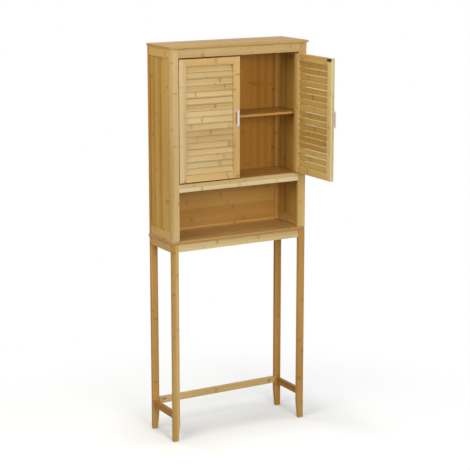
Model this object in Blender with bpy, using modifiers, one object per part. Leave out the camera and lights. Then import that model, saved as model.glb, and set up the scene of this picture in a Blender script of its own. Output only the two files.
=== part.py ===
"""Over-the-toilet storage rack in lacquered bamboo.

A four-legged frame stands over the toilet and carries a base board. On the board sits a frame-and-panel
cabinet: an open compartment below, and a cupboard with one inner shelf behind two louvred doors above.
The doors hang on pivot pins. They are drawn with the left door closed and the right door open at a right
angle. Metres, +X to the right, +Y to the back, +Z up. The origin is on the floor, under the middle of the
outline that the rack and its open door cover.
"""
import math

import bmesh
import bpy
from mathutils import Matrix, Vector

# Overall sizes
WIDTH = 0.658
DEPTH = 0.212
HEIGHT = 1.700
STOCK = 0.017          # thickness of the frame timber
GAP = 0.0003           # room between pieces that touch
EASE = 0.0012          # rounding of the timber's long edges

# Leg frame
LEG_WIDTH = 0.031
LEG_TOP = 0.870
FOOT_WIDTH = 0.023
FOOT_TAPER = 0.078
FOOT_BLEND_RADIUS = 0.30
APRON_BOTTOM = 0.8365
APRON_SETBACK = 0.002
SIDE_SETBACK = 0.001
STRETCHER_HEIGHT = 0.029
SIDE_STRETCHER_BOTTOM = 0.104
REAR_STRETCHER_BOTTOM = 0.112
BARREL_NUT_RADIUS = 0.006
BARREL_NUT_LENGTH = 0.012
BARREL_NUT_FROM_LEG = 0.030

# Base board and top panel
BASE_THICKNESS = 0.013
BASE_OVERHANG = 0.004
BASE_CORNER_RADIUS = 0.018
TOP_THICKNESS = 0.0095
TOP_OVERHANG_SIDE = 0.004
TOP_OVERHANG_FRONT = 0.012
TOP_CORNER_RADIUS = 0.004

# Cabinet
POST_WIDTH = 0.036
TOP_RAIL_BOTTOM = 1.651
MID_RAIL_TOP = 1.1245
MID_RAIL_BOTTOM = 1.091
SIDE_BOTTOM_RAIL_TOP = 0.9205
PANEL_THICKNESS = 0.006
PANEL_RECESS = 0.005
GROOVE_DEPTH = 0.005
BACK_THICKNESS = 0.005
BACK_RECESS = 0.004    # back panel behind the front of the rear posts
MID_BOARD_THICKNESS = 0.012
SHELF_BOTTOM = 1.3815
SHELF_THICKNESS = 0.010
SHELF_FRONT = 0.030
SHELF_BACK_ROOM = 0.003
CLEAT_WIDTH = 0.012
CLEAT_HEIGHT = 0.016
CLEAT_END_ROOM = 0.008
CATCH_HALF_WIDTH = 0.017
CATCH_DEPTH = 0.013
CATCH_BOTTOM = 1.630
CATCH_TOP = 1.660

# Doors
DOOR_THICKNESS = 0.016
DOOR_BOTTOM = 1.130
DOOR_TOP = 1.6455
HINGE_GAP = 0.0035     # door edge to post
MEETING_GAP = 0.002    # between the two closed doors
STILE_WIDTH = 0.032
DOOR_RAIL_HEIGHT = 0.031
HINGE_EDGE_RADIUS = 0.004
PIN_INSET = 0.005      # pin axis from the door's hinge edge
PIN_RADIUS = 0.0025
PIN_ROOM = 0.0003
PIN_IN_DOOR = 0.012
PIN_IN_RAIL = 0.008
COLLAR_RADIUS = 0.0045
OPEN_ANGLE = math.radians(90.0)

# Louvre slats
SLAT_COUNT = 17
SLAT_WIDTH = 0.0265
SLAT_THICKNESS = 0.005
SLAT_TILT = math.radians(74.0)   # from level, outer edge down
SLAT_END_ROOM = 0.0003
STRIP_DEPTH = 0.010
STRIP_GROOVE = 0.004
STRIP_PROUD = 0.0012

# Door hardware
HANDLE_LENGTH = 0.070
HANDLE_WIDTH = 0.008
HANDLE_BAR = 0.0065
HANDLE_LEG = 0.009
HANDLE_REACH = 0.017
HANDLE_LEG_SPACING = 0.061
HANDLE_CORNER = 0.002
SCREW_RADIUS = 0.002
SCREW_HEAD_RADIUS = 0.004
SCREW_HEAD_HEIGHT = 0.002
SCREW_IN_HANDLE = 0.008
SCREW_ROOM = 0.0004
STRIKE_WIDTH = 0.034
STRIKE_HEIGHT = 0.013
STRIKE_THICKNESS = 0.001
STRIKE_BELOW_TOP = 0.0015

# Worked out from the sizes above
HALF = WIDTH / 2.0
POST_INNER = HALF - POST_WIDTH
DOOR_WIDTH = POST_INNER - HINGE_GAP - MEETING_GAP / 2.0
DOOR_EDGE = POST_INNER - HINGE_GAP
PIN_X = DOOR_EDGE - PIN_INSET
PIN_DEPTH = DOOR_THICKNESS / 2.0
OPEN_REACH = DOOR_WIDTH - PIN_INSET - PIN_DEPTH
FRONT = (OPEN_REACH - DEPTH) / 2.0    # y of the cabinet's front plane
BACK = FRONT + DEPTH
BASE_BOTTOM = LEG_TOP + GAP
BASE_TOP = BASE_BOTTOM + BASE_THICKNESS
CABINET_BOTTOM = BASE_TOP + GAP
CABINET_TOP = HEIGHT - TOP_THICKNESS - GAP
SIDE_INNER = HALF - PANEL_RECESS - PANEL_THICKNESS
DOOR_MIDDLE = (DOOR_BOTTOM + DOOR_TOP) / 2.0

COLLECTION_NAME = "over_toilet_rack"
ROUND_SEGMENTS = 20
OVERCUT = 0.002        # how far a cutter runs past the face it opens


# ---------------------------------------------------------------- scene and materials

def clear_scene():
    for item in list(bpy.data.objects):
        bpy.data.objects.remove(item, do_unlink=True)


def new_collection(name):
    collection = bpy.data.collections.new(name)
    bpy.context.scene.collection.children.link(collection)
    return collection


def make_material(name, colour, roughness, metallic=0.0):
    material = bpy.data.materials.new(name)
    material.use_nodes = True
    material.diffuse_color = (*colour, 1.0)
    shader = material.node_tree.nodes["Principled BSDF"]
    shader.inputs["Base Color"].default_value = (*colour, 1.0)
    shader.inputs["Roughness"].default_value = roughness
    shader.inputs["Metallic"].default_value = metallic
    return material


# ---------------------------------------------------------------- shape helpers

def add_object(name, mesh, material, collection):
    item = bpy.data.objects.new(name, mesh)
    if material is not None:
        mesh.materials.append(material)
    collection.objects.link(item)
    return item


def box_mesh(name, low, high):
    """A box between two corners, with its scale already in the mesh."""
    low = Vector(low)
    high = Vector(high)
    bm = bmesh.new()
    bmesh.ops.create_cube(bm, size=1.0)
    bmesh.ops.scale(bm, vec=high - low, verts=bm.verts)
    bmesh.ops.translate(bm, vec=(low + high) / 2.0, verts=bm.verts)
    mesh = bpy.data.meshes.new(name)
    bm.to_mesh(mesh)
    bm.free()
    return mesh


def ease_edges(item, width=EASE, segments=2):
    bevel = item.modifiers.new("eased_edges", "BEVEL")
    bevel.width = width
    bevel.segments = segments
    bevel.limit_method = "ANGLE"
    bevel.angle_limit = math.radians(40.0)
    return item


def timber(name, low, high, material, ease=EASE):
    """A planed length of timber between two corners, its edges eased."""
    item = add_object(name, box_mesh(name, low, high), material, PARTS)
    return ease_edges(item, ease)


def cylinder_mesh(name, radius, start, end, segments=ROUND_SEGMENTS):
    """A round bar from one point to another."""
    start = Vector(start)
    end = Vector(end)
    axis = end - start
    bm = bmesh.new()
    bmesh.ops.create_cone(bm, cap_ends=True, segments=segments, radius1=radius, radius2=radius,
                          depth=axis.length)
    turn = Vector((0.0, 0.0, 1.0)).rotation_difference(axis).to_matrix().to_4x4()
    bmesh.ops.transform(bm, matrix=Matrix.Translation((start + end) / 2.0) @ turn, verts=bm.verts)
    mesh = bpy.data.meshes.new(name)
    bm.to_mesh(mesh)
    bm.free()
    return mesh


def smooth_round(mesh):
    mesh.shade_smooth()
    mesh.set_sharp_from_angle(angle=math.radians(35.0))


def hide_cutter(item):
    item.hide_render = True
    item.display_type = "WIRE"
    return item


def boolean(item, mesh, operation="DIFFERENCE"):
    """Cut item with a mesh, or join the mesh to it."""
    cutter = hide_cutter(add_object(item.name + "_cutter", mesh, None, CUTTERS))
    cutter.matrix_world = item.matrix_world
    modifier = item.modifiers.new("cut", "BOOLEAN")
    modifier.operation = operation
    modifier.solver = "EXACT"
    modifier.object = cutter
    return item


def cut_box(item, low, high):
    return boolean(item, box_mesh(item.name + "_cutter", low, high))


def cut_round(item, radius, start, end):
    return boolean(item, cylinder_mesh(item.name + "_cutter", radius, start, end))


def rounded_outline(corners, steps=6):
    """Points of a closed outline whose corners are (x, y, radius)."""
    points = []
    count = len(corners)
    for index, (x, y, radius) in enumerate(corners):
        corner = Vector((x, y))
        if radius == 0.0:
            points.append(corner)
            continue
        before = (Vector(corners[index - 1][:2]) - corner).normalized()
        after = (Vector(corners[(index + 1) % count][:2]) - corner).normalized()
        half_angle = before.angle(after) / 2.0
        centre = corner + (before + after).normalized() * radius / math.sin(half_angle)
        first = corner + before * radius / math.tan(half_angle) - centre
        last = corner + after * radius / math.tan(half_angle) - centre
        sweep = first.angle_signed(last)
        for step in range(steps + 1):
            # angle_signed counts clockwise, Matrix.Rotation anticlockwise
            turn = Matrix.Rotation(-sweep * step / steps, 2)
            points.append(centre + turn @ first)
    return points


def plate_mesh(name, outline, low, high):
    """An outline in the XY plane, from height low to height high, as a welded closed mesh."""
    curve = bpy.data.curves.new(name, "CURVE")
    curve.dimensions = "2D"
    curve.fill_mode = "BOTH"
    curve.extrude = (high - low) / 2.0
    spline = curve.splines.new("POLY")
    spline.points.add(len(outline) - 1)
    for point, place in zip(spline.points, outline):
        point.co = (place[0], place[1], 0.0, 1.0)
    spline.use_cyclic_u = True
    guide = bpy.data.objects.new(name, curve)
    bpy.context.scene.collection.objects.link(guide)
    evaluated = guide.evaluated_get(bpy.context.evaluated_depsgraph_get())
    mesh = bpy.data.meshes.new_from_object(evaluated)
    bpy.data.objects.remove(guide, do_unlink=True)
    mesh.name = name
    bm = bmesh.new()
    bm.from_mesh(mesh)
    bmesh.ops.remove_doubles(bm, verts=bm.verts, dist=0.00001)
    bmesh.ops.dissolve_limit(bm, angle_limit=math.radians(0.5), verts=bm.verts, edges=bm.edges)
    bmesh.ops.translate(bm, vec=(0.0, 0.0, (low + high) / 2.0), verts=bm.verts)
    bmesh.ops.recalc_face_normals(bm, faces=bm.faces)
    bm.to_mesh(mesh)
    bm.free()
    mesh.materials.clear()
    return mesh


def stand_up(mesh):
    """Turn a plate so that its outline's second axis points up and its thickness runs along +Y."""
    mesh.transform(Matrix(((1, 0, 0, 0), (0, 0, -1, 0), (0, 1, 0, 0), (0, 0, 0, 1))))
    return mesh


# ---------------------------------------------------------------- leg frame

def make_leg(name, side, front_face):
    """One leg. Its foot narrows on the side that faces the toilet."""
    outline = rounded_outline([
        (side * HALF, 0.0, 0.0),
        (side * (HALF - FOOT_WIDTH), 0.0, 0.0),
        (side * (HALF - LEG_WIDTH), FOOT_TAPER, FOOT_BLEND_RADIUS),
        (side * (HALF - LEG_WIDTH), LEG_TOP, 0.0),
        (side * HALF, LEG_TOP, 0.0),
    ])
    mesh = stand_up(plate_mesh(name, outline, -front_face - STOCK, -front_face))
    return ease_edges(add_object(name, mesh, BAMBOO_LEG, PARTS))


def make_aprons():
    between = HALF - LEG_WIDTH - GAP
    timber("apron_front", (-between, FRONT + APRON_SETBACK, APRON_BOTTOM),
           (between, FRONT + APRON_SETBACK + STOCK, LEG_TOP), BAMBOO)
    timber("apron_rear", (-between, BACK - STOCK, APRON_BOTTOM), (between, BACK, LEG_TOP), BAMBOO)
    for side, word in ((-1, "left"), (1, "right")):
        side_bar("apron_" + word, side, APRON_BOTTOM, LEG_TOP)


def side_bar(name, side, bottom, top):
    """A bar between the front leg and the rear leg of one side."""
    outer = side * (HALF - SIDE_SETBACK)
    inner = side * (HALF - SIDE_SETBACK - STOCK)
    return timber(name, (min(outer, inner), FRONT + STOCK + GAP, bottom),
                  (max(outer, inner), BACK - STOCK - GAP, top), BAMBOO_LEG)


def make_stretchers():
    between = HALF - LEG_WIDTH - GAP
    rear_face = BACK - STOCK
    rear_top = REAR_STRETCHER_BOTTOM + STRETCHER_HEIGHT
    rear = timber("stretcher_rear", (-between, rear_face, REAR_STRETCHER_BOTTOM),
                  (between, BACK, rear_top), BAMBOO_LEG)
    middle = (REAR_STRETCHER_BOTTOM + rear_top) / 2.0
    for side, word in ((-1, "left"), (1, "right")):
        side_bar("stretcher_" + word, side, SIDE_STRETCHER_BOTTOM,
                 SIDE_STRETCHER_BOTTOM + STRETCHER_HEIGHT)
        x = side * (HALF - LEG_WIDTH - BARREL_NUT_FROM_LEG)
        cut_round(rear, BARREL_NUT_RADIUS + GAP, (x, rear_face - OVERCUT, middle),
                  (x, rear_face + BARREL_NUT_LENGTH + GAP, middle))
        mesh = cylinder_mesh("barrel_nut_" + word, BARREL_NUT_RADIUS, (x, rear_face, middle),
                             (x, rear_face + BARREL_NUT_LENGTH, middle))
        smooth_round(mesh)
        add_object("barrel_nut_" + word, mesh, STEEL, PARTS)


# ---------------------------------------------------------------- cabinet carcass

def make_base_board():
    edge = HALF + BASE_OVERHANG
    outline = rounded_outline([
        (-edge, FRONT - BASE_OVERHANG, BASE_CORNER_RADIUS),
        (edge, FRONT - BASE_OVERHANG, BASE_CORNER_RADIUS),
        (edge, BACK, 0.0),
        (-edge, BACK, 0.0),
    ])
    mesh = plate_mesh("base_board", outline, BASE_BOTTOM, BASE_TOP)
    ease_edges(add_object("base_board", mesh, BAMBOO, PARTS))


def make_top_panel():
    edge = HALF + TOP_OVERHANG_SIDE
    outline = rounded_outline([
        (-edge, FRONT - TOP_OVERHANG_FRONT, TOP_CORNER_RADIUS),
        (edge, FRONT - TOP_OVERHANG_FRONT, TOP_CORNER_RADIUS),
        (edge, BACK, 0.0),
        (-edge, BACK, 0.0),
    ])
    mesh = plate_mesh("top_panel", outline, HEIGHT - TOP_THICKNESS, HEIGHT)
    ease_edges(add_object("top_panel", mesh, BAMBOO, PARTS))


def side_span(side, inner, outer):
    """The two x values, low first, of a slab between two distances from the middle."""
    return sorted((side * inner, side * outer))


def make_posts():
    """Four corner posts, grooved for the side panels, and at the rear for the back panels too."""
    for side, word in ((-1, "left"), (1, "right")):
        low_x, high_x = side_span(side, POST_INNER, HALF)
        groove_x = side_span(side, SIDE_INNER - GAP, HALF - PANEL_RECESS + GAP)
        groove_z = (SIDE_BOTTOM_RAIL_TOP - GROOVE_DEPTH, TOP_RAIL_BOTTOM + GROOVE_DEPTH)
        front = timber("post_front_" + word, (low_x, FRONT, CABINET_BOTTOM),
                       (high_x, FRONT + STOCK, CABINET_TOP), BAMBOO)
        cut_box(front, (groove_x[0], FRONT + STOCK - GROOVE_DEPTH, groove_z[0]),
                (groove_x[1], FRONT + STOCK + OVERCUT, groove_z[1]))
        rear = timber("post_rear_" + word, (low_x, BACK - STOCK, CABINET_BOTTOM),
                      (high_x, BACK, CABINET_TOP), BAMBOO)
        cut_box(rear, (groove_x[0], BACK - STOCK - OVERCUT, groove_z[0]),
                (groove_x[1], BACK - STOCK + GROOVE_DEPTH, groove_z[1]))
        back_x = side_span(side, POST_INNER - OVERCUT, POST_INNER + GROOVE_DEPTH)
        cut_box(rear, (back_x[0], back_groove()[0], CABINET_BOTTOM - OVERCUT),
                (back_x[1], back_groove()[1], TOP_RAIL_BOTTOM + GROOVE_DEPTH))


def back_groove():
    """The y values of the groove that holds the back panels."""
    front = BACK - STOCK + BACK_RECESS
    return front - GAP, front + BACK_THICKNESS + GAP


def make_side_frames():
    """Top and bottom rails between the posts of each side, and the panel in their grooves."""
    low_y = FRONT + STOCK
    high_y = BACK - STOCK
    for side, word in ((-1, "left"), (1, "right")):
        low_x, high_x = side_span(side, HALF - STOCK, HALF)
        groove_x = side_span(side, SIDE_INNER - GAP, HALF - PANEL_RECESS + GAP)
        top = timber("side_top_rail_" + word, (low_x, low_y + GAP, TOP_RAIL_BOTTOM),
                     (high_x, high_y - GAP, CABINET_TOP), BAMBOO)
        cut_box(top, (groove_x[0], low_y - OVERCUT, TOP_RAIL_BOTTOM - OVERCUT),
                (groove_x[1], high_y + OVERCUT, TOP_RAIL_BOTTOM + GROOVE_DEPTH))
        bottom = timber("side_bottom_rail_" + word, (low_x, low_y + GAP, CABINET_BOTTOM),
                        (high_x, high_y - GAP, SIDE_BOTTOM_RAIL_TOP), BAMBOO)
        cut_box(bottom, (groove_x[0], low_y - OVERCUT, SIDE_BOTTOM_RAIL_TOP - GROOVE_DEPTH),
                (groove_x[1], high_y + OVERCUT, SIDE_BOTTOM_RAIL_TOP + OVERCUT))
        into = GROOVE_DEPTH - GAP
        panel_x = side_span(side, SIDE_INNER, HALF - PANEL_RECESS)
        timber("side_panel_" + word, (panel_x[0], low_y - into, SIDE_BOTTOM_RAIL_TOP - into),
               (panel_x[1], high_y + into, TOP_RAIL_BOTTOM + into), BAMBOO_PANEL, EASE / 2.0)


def make_cross_rails():
    """Front and rear rails across the cabinet, at the top and below the cupboard."""
    between = POST_INNER - GAP
    front_y = (FRONT, FRONT + STOCK)
    rear_y = (BACK - STOCK, BACK)
    top = timber("rail_top_front", (-between, front_y[0], TOP_RAIL_BOTTOM),
                 (between, front_y[1], CABINET_TOP), BAMBOO)
    middle = timber("rail_mid_front", (-between, front_y[0], MID_RAIL_BOTTOM),
                    (between, front_y[1], MID_RAIL_TOP), BAMBOO)
    for side in (-1, 1):
        axis = (side * PIN_X, FRONT + PIN_DEPTH)
        hole = PIN_RADIUS + PIN_ROOM
        cut_round(top, hole, (*axis, TOP_RAIL_BOTTOM - OVERCUT),
                  (*axis, TOP_RAIL_BOTTOM + PIN_IN_RAIL + GAP))
        cut_round(middle, hole, (*axis, MID_RAIL_TOP - PIN_IN_RAIL - GAP),
                  (*axis, MID_RAIL_TOP + OVERCUT))
    groove = back_groove()
    rear_top = timber("rail_top_rear", (-between, rear_y[0], TOP_RAIL_BOTTOM),
                      (between, rear_y[1], CABINET_TOP), BAMBOO)
    cut_box(rear_top, (-HALF, groove[0], TOP_RAIL_BOTTOM - OVERCUT),
            (HALF, groove[1], TOP_RAIL_BOTTOM + GROOVE_DEPTH))
    rear_middle = timber("rail_mid_rear", (-between, rear_y[0], MID_RAIL_BOTTOM),
                         (between, rear_y[1], MID_RAIL_TOP), BAMBOO)
    cut_box(rear_middle, (-HALF, groove[0], MID_RAIL_TOP - GROOVE_DEPTH),
            (HALF, groove[1], MID_RAIL_TOP + OVERCUT))
    cut_box(rear_middle, (-HALF, groove[0], MID_RAIL_BOTTOM - OVERCUT),
            (HALF, groove[1], MID_RAIL_BOTTOM + GROOVE_DEPTH))


def make_back_panels():
    low_y = back_groove()[0] + GAP
    high_y = back_groove()[1] - GAP
    half_width = POST_INNER + GROOVE_DEPTH - GAP
    into = GROOVE_DEPTH - GAP
    timber("back_panel_upper", (-half_width, low_y, MID_RAIL_TOP - into),
           (half_width, high_y, TOP_RAIL_BOTTOM + into), BAMBOO_PANEL, EASE / 2.0)
    timber("back_panel_lower", (-half_width, low_y, CABINET_BOTTOM),
           (half_width, high_y, MID_RAIL_BOTTOM + into), BAMBOO_PANEL, EASE / 2.0)


def make_shelves():
    inside = SIDE_INNER - GAP
    low_y = FRONT + STOCK + GAP
    high_y = BACK - STOCK - GAP
    timber("mid_board", (-inside, low_y, MID_RAIL_TOP - MID_BOARD_THICKNESS),
           (inside, high_y, MID_RAIL_TOP), BAMBOO_PANEL)
    timber("inner_shelf", (-inside + GAP, FRONT + SHELF_FRONT, SHELF_BOTTOM),
           (inside - GAP, high_y - SHELF_BACK_ROOM, SHELF_BOTTOM + SHELF_THICKNESS), BAMBOO_PANEL)
    cleat_top = SHELF_BOTTOM - GAP
    for side, word in ((-1, "left"), (1, "right")):
        low_x, high_x = side_span(side, inside - CLEAT_WIDTH, inside)
        timber("shelf_cleat_" + word, (low_x, FRONT + SHELF_FRONT + CLEAT_END_ROOM,
                                       cleat_top - CLEAT_HEIGHT),
               (high_x, high_y - SHELF_BACK_ROOM - CLEAT_END_ROOM, cleat_top), BAMBOO_PANEL)


def make_catch():
    """Magnetic catch on the back of the top rail. Both doors' strike plates close against it."""
    low_y = FRONT + STOCK + GAP
    item = timber("magnetic_catch", (-CATCH_HALF_WIDTH, low_y, CATCH_BOTTOM),
                  (CATCH_HALF_WIDTH, low_y + CATCH_DEPTH, CATCH_TOP), CATCH_PLASTIC)
    return item


# ---------------------------------------------------------------- doors

class Door:
    """A door drawn closed, then turned about its pin. side is -1 for the left door, 1 for the right."""

    def __init__(self, word, side, angle):
        self.word = word
        self.side = side
        self.axis = Vector((side * PIN_X, FRONT + PIN_DEPTH, 0.0))
        self.empty = bpy.data.objects.new(word + "_door_axis", None)
        PARTS.objects.link(self.empty)
        self.empty.location = self.axis
        self.empty.rotation_euler = (0.0, 0.0, side * angle)

    def place(self, item):
        """Hang a piece, drawn in the closed door's place, on the door's axis."""
        item.parent = self.empty
        item.matrix_parent_inverse = Matrix.Translation(-self.axis)
        for modifier in item.modifiers:
            if modifier.type == "BOOLEAN":
                modifier.object.parent = self.empty
                modifier.object.matrix_parent_inverse = Matrix.Translation(-self.axis)
        return item

    def x(self, from_hinge_edge):
        """x of a point that lies this far from the door's hinge edge, towards its free edge."""
        return self.side * (DOOR_EDGE - from_hinge_edge)

    def span(self, start, end):
        return sorted((self.x(start), self.x(end)))

    def name(self, piece):
        return self.word + "_door_" + piece


def make_stiles(door):
    """Hinge stile with a rounded outer edge and pin holes, and free stile with screw holes."""
    radius = HINGE_EDGE_RADIUS
    low = FRONT
    high = FRONT + DOOR_THICKNESS
    outline = rounded_outline([
        (door.x(0.0), low, radius),
        (door.x(STILE_WIDTH), low, 0.0),
        (door.x(STILE_WIDTH), high, 0.0),
        (door.x(0.0), high, EASE),
    ])
    mesh = plate_mesh(door.name("hinge_stile"), outline, DOOR_BOTTOM, DOOR_TOP)
    hinge = ease_edges(add_object(door.name("hinge_stile"), mesh, BAMBOO, PARTS), EASE / 2.0)
    axis = door.axis.to_2d()
    for face, inward in ((DOOR_TOP, -1), (DOOR_BOTTOM, 1)):
        cut_round(hinge, PIN_RADIUS + GAP, (*axis, face - inward * OVERCUT),
                  (*axis, face + inward * (PIN_IN_DOOR + GAP)))
    cut_strip_groove(hinge, door, STILE_WIDTH, -1)
    door.place(hinge)
    low_x, high_x = door.span(DOOR_WIDTH - STILE_WIDTH, DOOR_WIDTH)
    free = timber(door.name("free_stile"), (low_x, low, DOOR_BOTTOM), (high_x, high, DOOR_TOP), BAMBOO)
    cut_strip_groove(free, door, DOOR_WIDTH - STILE_WIDTH, 1)
    for height in screw_heights():
        x = door.x(DOOR_WIDTH - STILE_WIDTH / 2.0)
        cut_round(free, SCREW_RADIUS + SCREW_ROOM, (x, low - OVERCUT, height),
                  (x, high + OVERCUT, height))
    door.place(free)


def cut_strip_groove(stile, door, face, inward):
    """Groove in a stile's inner edge for the louvre pack's end strip."""
    low_x, high_x = door.span(face - inward * OVERCUT, face + inward * STRIP_GROOVE)
    middle = FRONT + DOOR_THICKNESS / 2.0
    half = STRIP_DEPTH / 2.0 + GAP
    cut_box(stile, (low_x, middle - half, louvre_bottom() - GAP),
            (high_x, middle + half, louvre_top() + GAP))


def louvre_bottom():
    return DOOR_BOTTOM + DOOR_RAIL_HEIGHT


def louvre_top():
    return DOOR_TOP - DOOR_RAIL_HEIGHT


def make_door_rails(door):
    low_x, high_x = door.span(STILE_WIDTH + GAP, DOOR_WIDTH - STILE_WIDTH - GAP)
    for piece, bottom, top in (("top_rail", louvre_top() + GAP, DOOR_TOP),
                               ("bottom_rail", DOOR_BOTTOM, louvre_bottom() - GAP)):
        door.place(timber(door.name(piece), (low_x, FRONT, bottom),
                          (high_x, FRONT + DOOR_THICKNESS, top), BAMBOO))


def slat_mesh(name, low_x, high_x, centre_y, centre_z):
    """One flat slat, tilted so that its outer edge is the lower one."""
    mesh = box_mesh(name, (low_x, -SLAT_WIDTH / 2.0, -SLAT_THICKNESS / 2.0),
                    (high_x, SLAT_WIDTH / 2.0, SLAT_THICKNESS / 2.0))
    mesh.transform(Matrix.Translation((0.0, centre_y, centre_z)) @ Matrix.Rotation(SLAT_TILT, 4, "X"))
    return mesh


def make_louvres(door):
    """The slats of one door as a pack: their ends are let into a strip in each stile's groove."""
    name = door.name("louvre_pack")
    middle = FRONT + DOOR_THICKNESS / 2.0
    pitch = (louvre_top() - louvre_bottom()) / SLAT_COUNT
    bm = bmesh.new()
    low_x, high_x = door.span(STILE_WIDTH + SLAT_END_ROOM, DOOR_WIDTH - STILE_WIDTH - SLAT_END_ROOM)
    for index in range(SLAT_COUNT):
        height = louvre_bottom() + pitch * (index + 0.5)
        slat = slat_mesh(name, low_x, high_x, middle, height)
        bm.from_mesh(slat)
        bpy.data.meshes.remove(slat)
    mesh = bpy.data.meshes.new(name)
    bm.to_mesh(mesh)
    bm.free()
    pack = add_object(name, mesh, BAMBOO, PARTS)
    half = STRIP_DEPTH / 2.0
    room = STRIP_GROOVE - GAP
    for face, inward in ((STILE_WIDTH, -1), (DOOR_WIDTH - STILE_WIDTH, 1)):
        strip_x = door.span(face + inward * room, face - inward * STRIP_PROUD)
        boolean(pack, box_mesh(name, (strip_x[0], middle - half, louvre_bottom()),
                               (strip_x[1], middle + half, louvre_top())), "UNION")
    door.place(pack)


def make_pins(door):
    """Pivot pins, turned with a collar that carries the door clear of the rail."""
    clearance = DOOR_BOTTOM - MID_RAIL_TOP
    for word, face, away in (("lower", DOOR_BOTTOM, -1), ("upper", DOOR_TOP, 1)):
        collar_end = clearance - GAP if word == "lower" else clearance / 2.0
        reach = (clearance if word == "lower" else TOP_RAIL_BOTTOM - DOOR_TOP) + PIN_IN_RAIL
        stations = [
            (0.0, reach),
            (PIN_RADIUS, reach),
            (PIN_RADIUS, collar_end),
            (COLLAR_RADIUS, collar_end),
            (COLLAR_RADIUS, GAP),
            (PIN_RADIUS, GAP),
            (PIN_RADIUS, -PIN_IN_DOOR),
            (0.0, -PIN_IN_DOOR),
        ]
        profile = [(radius, away * height) for radius, height in stations]
        if away < 0:
            profile.reverse()
        item = turned(door.name(word + "_pin"), profile, DARK_STEEL)
        item.location = (0.0, 0.0, face)
        item.parent = door.empty


def turned(name, profile, material):
    """A body turned about Z from a profile that runs down its outer side."""
    bm = bmesh.new()
    verts = [bm.verts.new((radius, 0.0, height)) for radius, height in profile]
    for first, second in zip(verts, verts[1:]):
        bm.edges.new((first, second))
    mesh = bpy.data.meshes.new(name)
    bm.to_mesh(mesh)
    bm.free()
    item = add_object(name, mesh, material, PARTS)
    screw = item.modifiers.new("turned", "SCREW")
    screw.axis = "Z"
    screw.steps = ROUND_SEGMENTS
    screw.render_steps = ROUND_SEGMENTS
    screw.use_merge_vertices = True
    screw.merge_threshold = 0.00001
    return item


def screw_heights():
    return (DOOR_MIDDLE - HANDLE_LEG_SPACING / 2.0, DOOR_MIDDLE + HANDLE_LEG_SPACING / 2.0)


def make_handle(door):
    """A flat-bar pull on two legs, held by two screws through the free stile."""
    centre = door.x(DOOR_WIDTH - STILE_WIDTH / 2.0)
    half = HANDLE_WIDTH / 2.0
    name = door.name("handle")
    front = FRONT - HANDLE_REACH
    bar_back = front + HANDLE_BAR
    foot = FRONT - GAP
    bottom = DOOR_MIDDLE - HANDLE_LENGTH / 2.0
    top = DOOR_MIDDLE + HANDLE_LENGTH / 2.0
    outline = rounded_outline([
        (front, bottom, HANDLE_CORNER),
        (foot, bottom, 0.0),
        (foot, bottom + HANDLE_LEG, 0.0),
        (bar_back, bottom + HANDLE_LEG, HANDLE_CORNER / 2.0),
        (bar_back, top - HANDLE_LEG, HANDLE_CORNER / 2.0),
        (foot, top - HANDLE_LEG, 0.0),
        (foot, top, 0.0),
        (front, top, HANDLE_CORNER),
    ])
    mesh = plate_mesh(name, outline, centre - half, centre + half)
    mesh.transform(Matrix(((0, 0, 1, 0), (1, 0, 0, 0), (0, 1, 0, 0), (0, 0, 0, 1))))
    handle = ease_edges(add_object(name, mesh, ALUMINIUM, PARTS), EASE / 2.0)
    for height in screw_heights():
        cut_round(handle, SCREW_RADIUS + SCREW_ROOM, (centre, FRONT - SCREW_IN_HANDLE - GAP, height),
                  (centre, FRONT + OVERCUT, height))
    door.place(handle)
    inner_face = FRONT + DOOR_THICKNESS + GAP
    for word, height in zip(("lower", "upper"), screw_heights()):
        make_screw(door, "handle_screw_" + word, (centre, inner_face, height))


def make_screw(door, piece, seat):
    """A pan-head screw whose head rests on the stile's inner face. Its shank points outwards."""
    reach = DOOR_THICKNESS + SCREW_IN_HANDLE
    crown = SCREW_HEAD_HEIGHT * 0.35
    profile = [
        (0.0, SCREW_HEAD_HEIGHT),
        (SCREW_HEAD_RADIUS * 0.7, SCREW_HEAD_HEIGHT),
        (SCREW_HEAD_RADIUS, SCREW_HEAD_HEIGHT - crown),
        (SCREW_HEAD_RADIUS, 0.0),
        (SCREW_RADIUS, 0.0),
        (SCREW_RADIUS, -reach),
        (0.0, -reach),
    ]
    item = turned(door.name(piece), profile, STEEL)
    item.matrix_world = Matrix.Translation(seat) @ Matrix.Rotation(math.radians(-90.0), 4, "X")
    door.place(item)


def make_strike(door):
    """Strike plate at the top of the door's inner face, by its free edge."""
    low_x, high_x = door.span(DOOR_WIDTH - STRIKE_WIDTH, DOOR_WIDTH - EASE)
    top = DOOR_TOP - STRIKE_BELOW_TOP
    low_y = FRONT + DOOR_THICKNESS + GAP
    name = door.name("strike_plate")
    door.place(timber(name, (low_x, low_y, top - STRIKE_HEIGHT),
                      (high_x, low_y + STRIKE_THICKNESS - GAP, top), DARK_STEEL, STRIKE_THICKNESS / 4.0))


def make_door(word, side, angle):
    door = Door(word, side, angle)
    make_stiles(door)
    make_door_rails(door)
    make_louvres(door)
    make_pins(door)
    make_handle(door)
    make_strike(door)


# ---------------------------------------------------------------- build

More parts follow.
